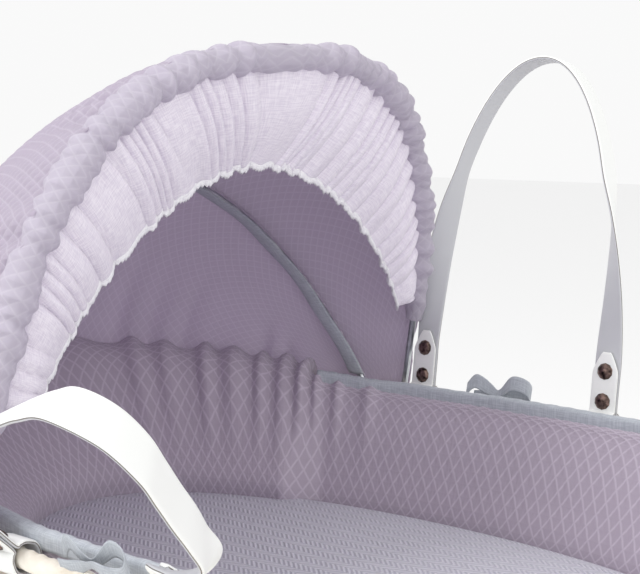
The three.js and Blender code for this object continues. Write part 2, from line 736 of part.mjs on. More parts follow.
// The gathered frill that hangs from the front hoop, down to its stitched inner edge.
function frill() {
  const low = PIVOT_DROP + 100;
  const gap = CASING_R + 2;
  const innerSize = { ...FRONT_HOOP };
  const at = (u, v) => {
    const from = hoopTurn(innerSize, low);
    const outer = hoopPoint(innerSize, from + (Math.PI - 2 * from) * u, -gap);
    const start = Math.asin((80 / FRILL_EDGE.high) ** (FRILL_EDGE.power / 2));
    const edge = frillEdge(start + (Math.PI - 2 * start) * u);
    return outer.lerp(edge, v);
  };
  add('hood_frill', clothSheet(at, 28, 3), LINEN);
}

// Flat tape sewn over the middle hoop, inside the hood.
function tape() {
  const size = MID_HOOP;
  const from = hoopTurn(size, PIVOT_DROP + 14);
  const w = TAPE_WIDE / 2;
  const section = new THREE.Shape();
  section.moveTo(-w, -WIRE_R - 1.8);
  section.lineTo(w, -WIRE_R - 1.8);
  section.lineTo(w, -WIRE_R - 0.5);
  section.lineTo(-w, -WIRE_R - 0.5);
  section.closePath();
  const at = (turn) => hoopPoint(size, turn);
  add('hood_tape', alongHoop(section, 28, from, Math.PI - from, at), TAPE);
}

// ---------------------------------------------------------------- the whole object

basket();
liner();
mattress();
bow('ribbon_bow_far', 1);
bow('ribbon_bow_near', -1);
frame('outer', OUTER_FACE_Y, 1);
frame('inner', INNER_FACE_Y, -1);
standPivot('far', 1);
standPivot('near', -1);
webbing('webbing_far', WEBBING_Y);
webbing('webbing_near', -WEBBING_Y);
handle('far', 1, FAR_LEAN, FAR_TWIST, uprightArch());
handle('near', -1, NEAR_LEAN, NEAR_TWIST, floppedArch());
hoop('front', FRONT_HOOP);
hoop('mid', MID_HOOP);
hoodPivot('far', 1);
hoodPivot('near', -1);
frontPanel();
backPanel();
casing();
frill();
tape();

// The near handle reaches further out than the far one, so the outline's middle is moved to y = 0.
const outline = new THREE.Box3().setFromObject(bassinet);
bassinet.position.y = -(outline.min.y + outline.max.y) / 2;
bassinet.position.x = -(outline.min.x + outline.max.x) / 2;
bassinet.updateMatrixWorld(true);

export default bassinet;
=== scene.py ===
# %% [markdown]
# # A dressed moses basket on its stand
# The basket, its handles, the hood and the stand already exist as measured solids. Here they get their
# finishes, and everything sewn or woven is made again with folds, quilting and strands.

import math
import random

import bmesh
import bpy
from mathutils import Matrix, Vector


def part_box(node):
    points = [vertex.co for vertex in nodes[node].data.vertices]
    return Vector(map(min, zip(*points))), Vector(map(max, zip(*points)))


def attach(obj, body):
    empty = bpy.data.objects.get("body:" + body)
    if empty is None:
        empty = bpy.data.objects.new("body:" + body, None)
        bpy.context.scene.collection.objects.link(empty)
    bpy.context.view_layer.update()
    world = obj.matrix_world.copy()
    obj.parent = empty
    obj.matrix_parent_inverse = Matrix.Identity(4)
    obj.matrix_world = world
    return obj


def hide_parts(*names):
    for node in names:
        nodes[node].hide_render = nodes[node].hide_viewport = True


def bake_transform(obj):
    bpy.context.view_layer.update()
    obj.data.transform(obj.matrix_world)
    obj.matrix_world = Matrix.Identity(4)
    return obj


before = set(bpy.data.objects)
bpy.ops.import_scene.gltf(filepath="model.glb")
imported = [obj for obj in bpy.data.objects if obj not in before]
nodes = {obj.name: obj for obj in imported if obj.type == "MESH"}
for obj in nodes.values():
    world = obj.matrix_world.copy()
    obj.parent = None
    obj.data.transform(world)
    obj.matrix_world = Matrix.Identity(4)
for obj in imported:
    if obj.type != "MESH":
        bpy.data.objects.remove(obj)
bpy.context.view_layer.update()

# %% [markdown]
# ## The basket's own coordinates
# Every sewn piece follows the same oval, so it is easiest to think in millimetres from the middle of the
# rim. The oval could be an ellipse, but a basket is a little squarer, so it is a superellipse with the
# same stretch at every height. The rim rises towards both ends.

# %% The middle of the rim and the sizes that everything follows
MM = 0.001
TURN = 2 * math.pi
BORDER_R, BORDER_DROP = 7, 9            # the rope border's radius, and how far it lies below the rim
STRETCH, POWER = 180, 2.2               # how much longer than wide, and how square, the oval is
RISE, RISE_FROM, RIM_END = 34, 50, 420  # the rim rises this much between these distances from the middle
RISE_DEEP = 155                         # the rise fades out over this depth below the rim
CLOTH_HALF = 210                        # half width of the oval that cloth is measured along
HOOD_X, HOOD_Z = -130, -60              # the hood's pivots

border_low, border_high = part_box("rim_border")
RIM = Vector((
    (border_low[0] + border_high[0]) / 2,
    (border_low[1] + border_high[1]) / 2,
    border_low[2] + (BORDER_R + BORDER_DROP) * MM,
))
HALF = (border_high[1] - border_low[1]) / 2 / MM - BORDER_R
print("rim centre:", [round(v, 3) for v in RIM], "border's half width:", round(HALF, 1), "mm")

# %% The oval and the rise of the rim


def place(x, y, z):
    """A point in millimetres from the middle of the rim, in the model's own metres."""
    return RIM + Vector((x, y, z)) * MM


def signed(value, power):
    return math.copysign(abs(value) ** power, value)


def oval(half, angle):
    return ((half + STRETCH) * signed(math.cos(angle), 2 / POWER),
            half * signed(math.sin(angle), 2 / POWER))


def oval_y(half, x):
    return half * (1 - min(1, abs(x) / (half + STRETCH)) ** POWER) ** (1 / POWER)


def oval_angle(half, x):
    return math.acos(signed(x / (half + STRETCH), POWER / 2))


def rise(x, z):
    far = max(0, abs(x) - RISE_FROM) / (RIM_END - RISE_FROM)
    return RISE * far ** 2 * min(1, max(0, 1 + z / RISE_DEEP))


print("the rim's ends are", round(rise(RIM_END, 0), 1), "mm higher than its middle")

# %% [markdown]
# Equal steps of angle are not equal steps of length on an oval, and a diamond or a willow stake would
# grow and shrink round the ends. So the way round is measured once and looked up.

# %% Even steps round the oval


def even_angles(steps=720):
    """The length walked round the oval at each of many equal steps of angle."""
    spots = [Vector(oval(CLOTH_HALF, TURN * i / steps)) for i in range(steps + 1)]
    runs = [0.0]
    for a, b in zip(spots, spots[1:]):
        runs.append(runs[-1] + (b - a).length)
    return runs


RUNS = even_angles()


def around(u):
    """The angle at a share u of the way round the oval."""
    goal = min(1, max(0, u)) * RUNS[-1]
    low, high = 0, len(RUNS) - 1
    while high - low > 1:
        middle = (low + high) // 2
        low, high = (middle, high) if RUNS[middle] <= goal else (low, middle)
    return TURN * (low + (goal - RUNS[low]) / (RUNS[high] - RUNS[low])) / (len(RUNS) - 1)


print("way round the cloth's oval:", round(RUNS[-1]), "mm")

# %% Easing, and a smooth curve through a few points


def smooth(value, low, high):
    t = min(1, max(0, (value - low) / (high - low)))
    return t * t * (3 - 2 * t)


def curve(points, t):
    """A point on the smooth curve through a list of points, with t from 0 to 1."""
    last = len(points) - 1
    k = min(last - 1, int(t * last))
    f = t * last - k
    a, b = points[max(0, k - 1)], points[k]
    c, d = points[k + 1], points[min(last, k + 2)]
    return tuple(
        0.5 * (2 * q + (r - p) * f + (2 * p - 5 * q + 4 * r - s) * f * f
               + (3 * q - p - 3 * r + s) * f ** 3)
        for p, q, r, s in zip(a, b, c, d))


print("halfway between 0 and 4 along a curve:", curve([(0,), (4,)], 0.5)[0])

# %% [markdown]
# ## Materials
# One function turns a hex colour to linear light and one adds a node. Fabrics read the piece's own UV
# map, which is laid out in metres, so a thread or a diamond keeps its real size on every piece.

# %% Colours and nodes


def linear(code):
    values = [int(code[i:i + 2], 16) / 255 for i in (0, 2, 4)]
    return (*[v / 12.92 if v <= 0.04045 else ((v + 0.055) / 1.055) ** 2.4 for v in values], 1)


def add(tree, kind, settings=None, links=None):
    """Adds one node: settings are its properties or its sockets' values, links feed its sockets."""
    node = tree.nodes.new(kind)
    for key, value in (settings or {}).items():
        if isinstance(key, str) and hasattr(node, key):
            setattr(node, key, value)
        else:
            node.inputs[key].default_value = value
    for key, socket in (links or {}).items():
        tree.links.new(socket, node.inputs[key])
    return node


print("mid grey in linear light:", round(linear("808080")[0], 3))

# %% Starting a finish, and laying a pattern on it
DARK, LIGHT = 6, 7   # the two colour sockets of a Mix node


def finish(name, colour, roughness, metallic=0, sheen=0):
    material = bpy.data.materials.new(name)
    material.use_nodes = True
    tree = material.node_tree
    surface = tree.nodes["Principled BSDF"]
    surface.inputs["Base Color"].default_value = linear(colour)
    surface.inputs["Roughness"].default_value = roughness
    surface.inputs["Metallic"].default_value = metallic
    surface.inputs["Sheen Weight"].default_value = sheen
    return material, tree, surface


def lay_pattern(tree, surface, tone, dark, light, height, depth):
    """Colours a surface between two tones, and raises it by a height of so many metres."""
    mix = add(tree, "ShaderNodeMix", {"data_type": "RGBA", DARK: linear(dark), LIGHT: linear(light)},
              {0: tone})
    tree.links.new(mix.outputs[2], surface.inputs["Base Color"])
    bump = add(tree, "ShaderNodeBump", {"Strength": 1.0, "Distance": depth}, {"Height": height})
    tree.links.new(bump.outputs[0], surface.inputs["Normal"])


print("finishes so far:", len(bpy.data.materials))

# %% [markdown]
# Quilted cotton: two layers are sewn together in small diamonds, and the cloth is matt with a little
# sheen. The stitched lines are paler than the puffed middles. The diamonds could be a texture alone, but
# their puff is in the mesh too, from the same two sizes. The hood is lit through from outside, so its
# cloth lets some light pass.

# %% Quilted cotton
DIAMOND_WIDE, DIAMOND_TALL = 0.012, 0.018
QUILT_DEEP = 0.0016
LIT_THROUGH = 0.42


def crossed(tree, across, along):
    """Two sets of slanting lines over the UV map; 0 on a line and 0.5 midway between lines."""
    uv = add(tree, "ShaderNodeUVMap")
    part = add(tree, "ShaderNodeSeparateXYZ", links={0: uv.outputs[0]})
    u = add(tree, "ShaderNodeMath", {"operation": "DIVIDE", 1: across}, {0: part.outputs[0]})
    v = add(tree, "ShaderNodeMath", {"operation": "DIVIDE", 1: along}, {0: part.outputs[1]})
    folded = []
    for way in ("ADD", "SUBTRACT"):
        line = add(tree, "ShaderNodeMath", {"operation": way}, {0: u.outputs[0], 1: v.outputs[0]})
        fold = add(tree, "ShaderNodeMath", {"operation": "PINGPONG", 1: 0.5}, {0: line.outputs[0]})
        folded.append(fold.outputs[0])
    return folded


def glow(tree, surface, colour, amount):
    """Lets some light through thin cloth, as a hood shows when it is lit from outside."""
    through = add(tree, "ShaderNodeBsdfTranslucent", {"Color": linear(colour)})
    mix = add(tree, "ShaderNodeMixShader", {0: amount}, {1: surface.outputs[0], 2: through.outputs[0]})
    tree.links.new(mix.outputs[0], tree.nodes["Material Output"].inputs["Surface"])


def quilted(name, dark, light, through=None):
    material, tree, surface = finish(name, light, 0.9, sheen=0.15)
    a, b = crossed(tree, DIAMOND_WIDE, DIAMOND_TALL)
    near = add(tree, "ShaderNodeMath", {"operation": "MINIMUM"}, {0: a, 1: b})
    stitched = add(tree, "ShaderNodeMapRange",
                   {"From Min": 0.02, "From Max": 0.12, "To Min": 1.0, "To Max": 0.0},
                   {0: near.outputs[0]})
    lay_pattern(tree, surface, stitched.outputs[0], dark, light, near.outputs[0], QUILT_DEEP)
    if through:
        glow(tree, surface, through, LIT_THROUGH)
    return material


liner_quilt = quilted("mauve_quilted_cotton", "B3A8B6", "C6BCC9")
hood_quilt = quilted("lilac_quilted_cotton", "C6BDCB", "D6CFDB", "DDD3E2")
casing_cotton = quilted("gathered_lilac_cotton", "D2CCD8", "DDD8E2", "E0D8E6")
print("quilted cottons:", liner_quilt.name, hood_quilt.name, casing_cotton.name)

# %% [markdown]
# Plain cloths: linen for the frill, twill tape for the binding and ribbon, cotton webbing, and the white
# thread of an overlocked edge. Each is uneven noise drawn out along both ways of the cloth. A noise scale
# counts patches to the metre, so 900 gives threads about 1 mm apart. That is coarser than life, because
# real threads are too fine to show.

# %% Linen, tape and webbing
THREAD_DRAWN = 0.08   # noise is squeezed this much along a thread, which draws it out


def threads(tree, scale):
    uv = add(tree, "ShaderNodeUVMap")
    found = []
    for stretch in ((1, THREAD_DRAWN, 1), (THREAD_DRAWN, 1, 1)):
        mapping = add(tree, "ShaderNodeMapping", {"Scale": stretch}, {0: uv.outputs[0]})
        noise = add(tree, "ShaderNodeTexNoise", {"Scale": scale, "Detail": 2.0}, {0: mapping.outputs[0]})
        found.append(noise.outputs[0])
    both = add(tree, "ShaderNodeMath", {"operation": "ADD"}, {0: found[0], 1: found[1]})
    half = add(tree, "ShaderNodeMath", {"operation": "MULTIPLY", 1: 0.5}, {0: both.outputs[0]})
    return half.outputs[0]


def woven(name, dark, light, scale, depth, sheen=0.1):
    material, tree, surface = finish(name, light, 0.88, sheen=sheen)
    cloth = threads(tree, scale)
    spread = add(tree, "ShaderNodeMapRange", {"From Min": 0.4, "From Max": 0.6}, {0: cloth})
    lay_pattern(tree, surface, spread.outputs[0], dark, light, cloth, depth)
    return material


linen = woven("pale_lilac_linen", "DAD2E0", "EDE7F0", 900, 0.0005)
tape = woven("grey_twill_tape", "A9AEB6", "C0C5CB", 1200, 0.0003)
webbing = woven("cream_cotton_webbing", "D2CBC0", "EEE9E0", 700, 0.0006)
thread = woven("white_overlock_thread", "E4E1E8", "FAF9FB", 1500, 0.001)
print("plain cloths:", linen.name, tape.name, webbing.name, thread.name)

# %% [markdown]
# The mattress cover is a chevron knit: ribs that lean one way and then the other. Rows of slanting ribs
# would do for a twill, so the slant is folded back on itself at every column to make the chevrons. Each
# rib is raised by a ramp and coloured by the same ramp, paler on its crest and darker in its groove:
# painted shade.

# %% Chevron knit
KNIT_COLUMN, KNIT_RIB = 0.0075, 0.0025

knit, tree, surface = finish("chevron_knit", "A9A7B5", 0.92, sheen=0.2)
uv = add(tree, "ShaderNodeUVMap")
part = add(tree, "ShaderNodeSeparateXYZ", links={0: uv.outputs[0]})
column = add(tree, "ShaderNodeMath", {"operation": "PINGPONG", 1: KNIT_COLUMN}, {0: part.outputs[1]})
slant = add(tree, "ShaderNodeMath", {"operation": "ADD"}, {0: part.outputs[0], 1: column.outputs[0]})
rib = add(tree, "ShaderNodeMath", {"operation": "PINGPONG", 1: KNIT_RIB}, {0: slant.outputs[0]})
lift = add(tree, "ShaderNodeMath", {"operation": "DIVIDE", 1: KNIT_RIB}, {0: rib.outputs[0]})
# the rib's height ramp is also its colour: paler crests and darker grooves are painted shade
lay_pattern(tree, surface, lift.outputs[0], "BEBCC9", "DEDCE6", lift.outputs[0], 0.001)
print("chevrons:", KNIT_COLUMN * 2000, "mm from peak to peak")

# %% [markdown]
# Leatherette is a coated cloth with a soft gloss. The strap is two layers back to back: one face is
# painted light grey as shade, standing in for the shade that side lies in, and the cut edge where the
# layers meet shows as a thin dark line. The UV map runs once round the strap's section, so a position
# across it tells face from edge.

# %% White leatherette
STRAP_FACE = 0.025    # each face's share of the way round the section, in metres of UV
CUT_EDGE = 0.0008

leatherette, tree, surface = finish("white_leatherette", "EDEEEC", 0.42)
uv = add(tree, "ShaderNodeUVMap")
part = add(tree, "ShaderNodeSeparateXYZ", links={0: uv.outputs[0]})
# one face of the strap is painted light grey (C4C5C9) as shade, darker than the white face
inner = add(tree, "ShaderNodeMath", {"operation": "GREATER_THAN", 1: STRAP_FACE}, {0: part.outputs[1]})
edge = add(tree, "ShaderNodeMath", {"operation": "PINGPONG", 1: STRAP_FACE / 2}, {0: part.outputs[1]})
seam = add(tree, "ShaderNodeMath", {"operation": "LESS_THAN", 1: CUT_EDGE}, {0: edge.outputs[0]})
faces = add(tree, "ShaderNodeMix", {"data_type": "RGBA", DARK: linear("EFF0EE"), LIGHT: linear("C4C5C9")},
            {0: inner.outputs[0]})
lines = add(tree, "ShaderNodeMix", {"data_type": "RGBA", LIGHT: linear("6A6460")},
            {0: seam.outputs[0], DARK: faces.outputs[2]})
tree.links.new(lines.outputs[2], surface.inputs["Base Color"])
print("leatherette roughness:", round(surface.inputs["Roughness"].default_value, 2))

# %% [markdown]
# The hard finishes differ in colour, gloss and grain, so one function makes them all. Antique bronze is
# brown with paler worn patches. Beech is drawn out along its grain. Peeled willow is nearly white and a
# little uneven. Zinc-plated steel, nylon and rubber are almost plain. They read Object coordinates,
# which stay with the solid in the model's own frame.

# %% Bronze, beech and the rest


def grained(name, dark, light, roughness, scale, stretch=(1, 1, 1), depth=0.0004, metallic=0):
    material, tree, surface = finish(name, light, roughness, metallic)
    where = add(tree, "ShaderNodeTexCoord")
    mapping = add(tree, "ShaderNodeMapping", {"Scale": stretch}, {0: where.outputs["Object"]})
    noise = add(tree, "ShaderNodeTexNoise", {"Scale": scale, "Detail": 4.0}, {0: mapping.outputs[0]})
    spread = add(tree, "ShaderNodeMapRange", {"From Min": 0.35, "From Max": 0.65}, {0: noise.outputs[0]})
    lay_pattern(tree, surface, spread.outputs[0], dark, light, noise.outputs[0], depth)
    return material


bronze = grained("antique_bronze", "2E2624", "8A746C", 0.36, 260, metallic=1, depth=0.0002)
beech = grained("beech", "C99F6E", "E2C59B", 0.5, 60, (0.15, 1, 0.15))
willow = grained("peeled_willow", "E4DACA", "F2ECE0", 0.7, 60)
plywood = grained("birch_plywood", "C9A878", "DCC39A", 0.6, 50, (0.1, 1, 1))
steel = grained("zinc_plated_steel", "9EA2A6", "C6C9CC", 0.3, 90, metallic=1, depth=0.00005)
plastic = grained("moulded_nylon", "E0DEDB", "ECEAE8", 0.5, 200, depth=0.00005)
rubber = grained("black_rubber", "1F1F21", "2F2F32", 0.85, 300, depth=0.0001)
print("hard finishes:", [m.name for m in (bronze, beech, willow, plywood, steel, plastic, rubber)])

# %% Finishing the hard parts
HARD = [("rivet", bronze), ("leg", beech), ("top_rail", beech), ("stretcher", beech),
        ("inner_foot", rubber), ("outer_foot", rubber), ("washer", plastic), ("socket", plastic),
        ("eye", plastic), ("pin", steel), ("hoop", steel), ("bolt", steel), ("nut", steel),
        ("board", plywood)]
painted = 0
for name, node in nodes.items():
    for word, material in HARD:
        if word in name:
            node.data.materials.clear()
            node.data.materials.append(material)
            painted += 1
            break
print("hard nodes given a finish:", painted)

# %% [markdown]
# ## One way to make cloth
# Cloth could be simulated, and that gives the most natural folds. Here it is shaped directly instead: it
# is quicker, and most of it is held along its edges. A flat grid is bent into place by a function of how
# far along and across it each point lies. Gathers and quilting push each point along its normal.

# %% A grid bent into shape


def bent(name, at, along, across, size, material, node=None, body=None, ring=False, tube=False,
         puff=None, thick=0):
    """Bends a grid by at(u, v). A ring closes on itself, a tube is closed at its ends as well, puff
    lifts it by millimetres, size is its UV map in metres and thick is the cloth in millimetres."""
    bm = bmesh.new()
    bmesh.ops.create_grid(bm, x_segments=along, y_segments=across, size=0.5)
    layer = bm.loops.layers.uv.new("UVMap")
    spot = {v: (v.co.x + 0.5, v.co.y + 0.5) for v in bm.verts}
    for face in bm.faces:
        for loop in face.loops:
            u, v = spot[loop.vert]
            loop[layer].uv = (u * size[0], v * size[1])
    for vert, (u, v) in spot.items():
        vert.co = at(u, v)
    if ring or tube:
        bmesh.ops.remove_doubles(bm, verts=bm.verts, dist=1e-6)
    if tube:
        bmesh.ops.holes_fill(bm, edges=[e for e in bm.edges if e.is_boundary], sides=0)
        bmesh.ops.recalc_face_normals(bm, faces=bm.faces)
    if puff:
        bm.normal_update()
        moved = [(v, v.normal * puff(*spot[v]) * MM) for v in bm.verts if v in spot]
        for vert, by in moved:
            vert.co += by
    bm.normal_update()
    mesh = bpy.data.meshes.new(name)
    bm.to_mesh(mesh)
    bm.free()
    mesh.shade_smooth()
    mesh.materials.append(material)
    piece = bpy.data.objects.new(name, mesh)
    bpy.context.scene.collection.objects.link(piece)
    if thick:
        wall = piece.modifiers.new("thickness", "SOLIDIFY")
        wall.thickness, wall.offset = thick * MM, 0
    if node:
        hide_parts(node)
    if body:
        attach(piece, body)
    print(name, len(mesh.polygons), "faces")
    return piece


# %% [markdown]
# Hand-made cloth repeats nothing exactly. Quilting is regular, so a product of sines does for its puffed
# diamonds. Gathers are not, so their rhythm is shifted by a slow wave that wanders but is the same on
# every run.

# %% Puffed diamonds and wandering waves


def diamonds(size, height):
    def puff(u, v):
        a = u * size[0] / DIAMOND_WIDE
        b = v * size[1] / DIAMOND_TALL
        return height * abs(math.sin(math.pi * (a + b)) * math.sin(math.pi * (a - b))) ** 0.6
    return puff


def wander(seed, count=6):
    """A slow uneven wave from 0 to 1 round a piece, the same each time for the same seed."""
    pick = random.Random(seed)
    parts = [(pick.uniform(3, 11), pick.uniform(0, TURN), pick.uniform(0.4, 1)) for _ in range(count)]
    total = sum(p[2] for p in parts)
    return lambda t: 0.5 + 0.5 * sum(w * math.sin(f * TURN * t + s) for f, s, w in parts) / total


print("a wave wanders through", [round(wander(3)(i / 4), 2) for i in range(5)])

# %% [markdown]
# ## The willow basket
# Weavers pass over and under upright stakes, and each row starts on the other side of the stake. Real
# strands woven one by one would be hundreds of thousands of faces, so two waves multiplied together
# push one thin wall in and out the same way.

# %% The woven wall
STAKES, ROWS, WEAVE_DEEP = 88, 22, 2.2
RIM_HALF, WALL_TOP, DEPTH = 240, -23, 190
WALL_LEAN = 70       # the wall draws in by this much on its way down
WALL_MIDDLE = 4      # from the outside to the middle of the wall


def wall_at(u, v):
    z = -DEPTH + (DEPTH + WALL_TOP) * v
    x, y = oval(RIM_HALF + WALL_LEAN * z / DEPTH - WALL_MIDDLE, around(u))
    return place(x, y, z + rise(x, z))


def weave(u, v):
    row = v * ROWS
    side = 1 if int(row) % 2 else -1
    return WEAVE_DEEP * side * math.sin(STAKES * math.pi * u) * math.sin(math.pi * (row % 1)) ** 0.5


bent("woven_wall", wall_at, STAKES * 6, ROWS * 4, (2.1, 0.18), willow, "basket_wall", "basket",
     ring=True, puff=weave, thick=3.5)

# %% [markdown]
# The border that finishes the rim is a rope of three twisted rods. One tube does for all three: its
# radius swells three times round its section, and the swellings turn as it goes round the rim.

# %% The twisted border
RODS, TWISTS, ROD_SWELL = 3, 90, 1.3


def border_at(u, v):
    a = TURN * v
    swell = BORDER_R - ROD_SWELL + ROD_SWELL * abs(math.sin(RODS / 2 * a + TWISTS * TURN * u))
    x, y = oval(HALF + swell * math.cos(a), around(u))
    z = -BORDER_DROP + swell * math.sin(a)
    return place(x, y, z + rise(x, -BORDER_DROP))


bent("twisted_border", border_at, 900, 18, (2.1, 0.044), willow, "rim_border", "basket", tube=True)

# %% [markdown]
# ## The padded liner
# A quilted wall stands inside the basket. At the head it turns over the rim; from there to the foot it
# stops at the rim, because the handles pass there. It could be two pieces, but a sewn liner is one, so
# each column of it is a mix of the two outlines. Each outline is (half width, height), from the foot of
# the wall up. The pleats gather it where the hood's end comes down.

# %% The liner's outlines
SIDE = [(120, -166), (167, -165), (169, -112), (172, -92), (186, -64), (200, -34), (211, -12),
        (215, -5), (219, -4), (221, -8), (220, -18), (214, -40)]
HEAD = [(110, -166), (150, -150), (142, -104), (139, -78), (158, -58), (188, -32), (208, -9),
        (220, 2), (229, 6), (237, 6), (243, 2), (245, -5)]
HEAD_TO, SIDE_FROM = -205, -165    # one outline turns to the other between these places along the basket
COLUMN_HALF = 200                  # half width of the oval that those places are measured on
LINER_WAVE, WAVE_FROM, WAVE_TO = 4, -110, -40
liner_wave = wander(3)


def liner_at(u, v):
    column, _ = oval(COLUMN_HALF, around(u))
    head = 1 - smooth(column, HEAD_TO, SIDE_FROM)
    side, over = curve(SIDE, v), curve(HEAD, v)
    half = side[0] + (over[0] - side[0]) * head
    z = side[1] + (over[1] - side[1]) * head
    x, y = oval(half - LINER_WAVE * liner_wave(u) * smooth(z, WAVE_FROM, WAVE_TO), around(u))
    return place(x, y, z + rise(x, z))


print("the liner turns over by", HEAD[-1][0] - SIDE[-1][0], "mm more at the head")

# %% The liner's quilting and pleats
LINER_SIZE = (1.92, 0.30)
PLEATS = [   # where along the basket, how wide, how deep
    (-372, 9, 7), (-340, 6, 8), (-318, 7, 7), (-286, 6, 9), (-262, 9, 8), (-236, 5, 7), (-214, 6, 8),
    (-196, 4, 12), (-181, 3, 7), (-160, 4, 5), (-128, 7, 4)]
liner_diamonds = diamonds(LINER_SIZE, 1.6)


def liner_puff(u, v):
    x, _ = oval(CLOTH_HALF, around(u))
    fold = sum(deep * math.exp(-((x - at) / wide) ** 2) for at, wide, deep in PLEATS)
    return (liner_diamonds(u, v) - fold * smooth(v, 0.3, 0.62)) * smooth(v, 0.15, 0.3)


liner = bent("quilted_liner", liner_at, 800, 110, LINER_SIZE, liner_quilt, "padded_liner", "basket",
             ring=True, puff=liner_puff, thick=3)

# %% [markdown]
# A grey bias binding closes the liner's raw edge: a strip folded over it, so its section is a narrow
# arch. Bias tape never lies quite straight, so it wanders by a millimetre or two.

# %% The bias binding
FOLD = [(-3.8, -7), (-4.2, 0), (-3.4, 4.4), (0, 5.6), (3.4, 4.4), (4.2, 0), (3.8, -7)]
BINDING_HALF, BINDING_END, BINDING_WAVE = 218.5, -186, 1.5
PUCKERS = 700
binding_from = oval_angle(BINDING_HALF, BINDING_END)
binding_wave = wander(5)
pucker = wander(9)


def binding_at(u, v):
    out, up = curve(FOLD, v)
    x, y = oval(BINDING_HALF + out + BINDING_WAVE * binding_wave(3 * u), binding_from * (1 - 2 * u))
    return place(x, y, up + rise(x, 0) + BINDING_WAVE * binding_wave(2 * u + 0.3))


def binding_puff(u, v):
    return 0.5 * math.sin(PUCKERS * u) * pucker(u)


binding = bent("bias_binding", binding_at, 420, 14, (1.55, 0.03), tape, "liner_binding", "basket",
               puff=binding_puff, thick=0.9)

# %% [markdown]
# ## The mattress
# A foam pad in a knitted cover: a flat oval with soft edges and a slight crown. Its outline is spun round
# the oval, and near the middle the oval's stretch shrinks away so that the rings close at a point. The
# UV map is laid flat from above, or the chevrons would run in circles.

# %% The mattress
PAD = [(0, -165), (150, -165), (164, -158), (166, -140), (166, -112), (161, -97), (148, -91),
       (110, -87), (60, -85), (0, -84)]
PAD_MIDDLE = 60


def pad_at(u, v):
    half, z = curve(PAD, v)
    half = max(0, half)
    stretch = STRETCH * min(1, half / PAD_MIDDLE)
    x = (half + stretch) * signed(math.cos(TURN * u), 2 / POWER)
    y = half * signed(math.sin(TURN * u), 2 / POWER)
    return place(x, y, z)


pad = bent("knitted_mattress", pad_at, 240, 60, (1.7, 0.42), knit, "mattress", "basket", ring=True)
layer = pad.data.uv_layers["UVMap"].data
for loop in pad.data.loops:
    spot = pad.data.vertices[loop.vertex_index].co
    layer[loop.index].uv = (spot.x, spot.y)

# %% [markdown]
# ## The hood
# Two steel hoops swing on one pair of pivots. Cloth runs from the rim to the middle hoop and on to the
# front hoop, where a gathered casing holds it; a linen frill hangs inside. The casing rides on the front
# hoop.

# %% Points on a hoop
FRONT = dict(lean=12.3, high=371, half=243, power=2.9)
MIDDLE = dict(lean=-26.5, high=313, half=236.5, power=2.3)


def hoop_point(hoop, turn, out=0):
    y = (hoop["half"] + out) * signed(math.cos(turn), 2 / hoop["power"])
    up = (hoop["high"] + out) * abs(math.sin(turn)) ** (2 / hoop["power"])
    lean = math.radians(hoop["lean"])
    return Vector((HOOD_X + up * math.sin(lean), y, HOOD_Z + up * math.cos(lean)))


def hoop_turn(hoop, up):
    """How far round a hoop a point at this height up its plane lies."""
    return math.asin((up / hoop["high"]) ** (hoop["power"] / 2))


def share(start, u):
    return start + (math.pi - 2 * start) * u


def swing(piece):
    """Bakes a piece's placing into its mesh."""
    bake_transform(piece)


print("front hoop's top:", [round(v) for v in hoop_point(FRONT, math.pi / 2)], "mm from the rim")

# %% [markdown]
# The front panel is stretched between the hoops and sags a little between them. Each of its rows is a
# hoop of its own, part way between the two real ones. It is gathered towards the front edge.

# %% The front panel
PANEL_FOOT = 24      # both panels start this far up the hoops
CLOTH_OUT = 6        # and lie this far outside them
SAG = 7
FRONT_SIZE = (1.05, 0.24)
FRONT_GATHERS, FRONT_DEEP = 150, 2.6
GATHER_SHIFT = 14
front_wave = wander(11, 9)
front_diamonds = diamonds(FRONT_SIZE, 1.2)


def front_at(u, v):
    mix = {k: MIDDLE[k] + (FRONT[k] - MIDDLE[k]) * v for k in FRONT}
    sag = SAG * math.sin(math.pi * v) * math.sin(math.pi * u)
    return place(*hoop_point(mix, share(hoop_turn(mix, PANEL_FOOT), u), CLOTH_OUT - sag))


def front_puff(u, v):
    gather = FRONT_DEEP * math.sin(FRONT_GATHERS * u + GATHER_SHIFT * front_wave(u)) * smooth(v, 0.5, 1)
    return front_diamonds(u, v) + gather


front = bent("hood_front_cloth", front_at, 460, 100, FRONT_SIZE, hood_quilt, "hood_front_panel",
             puff=front_puff, thick=1.6)
swing(front)

# %% [markdown]
# The back panel runs from the middle hoop over the head of the basket, past the border, and hangs as a
# short hem outside it. Three points and a smooth blend between them give each column its bulge, which
# fades to nothing at the two ends, where the cloth has to meet the pivots.

# %% The back panel
HEM_CLEAR, BACK_BEHIND = 8, 14        # outside the border, and behind the pivots
RIM_LOW, RIM_LIFT = -44, 86           # its height at the rim: at the two ends, and gained at the head
HEM_LOW, HEM_LIFT = -64, 14           # the same for the hem
HEM_FROM = 0.8
BULGE_AT, BULGE_OUT, BULGE_UP = 0.55, -34, 41
BACK_SIZE = (1.0, 0.36)
BACK_GATHERS, BACK_DEEP = 110, 3.2
BACK_OUT = HALF + BORDER_R + HEM_CLEAR
back_from = oval_angle(BACK_OUT, HOOD_X - BACK_BEHIND)
back_wave = wander(13, 9)
back_diamonds = diamonds(BACK_SIZE, 0.8)


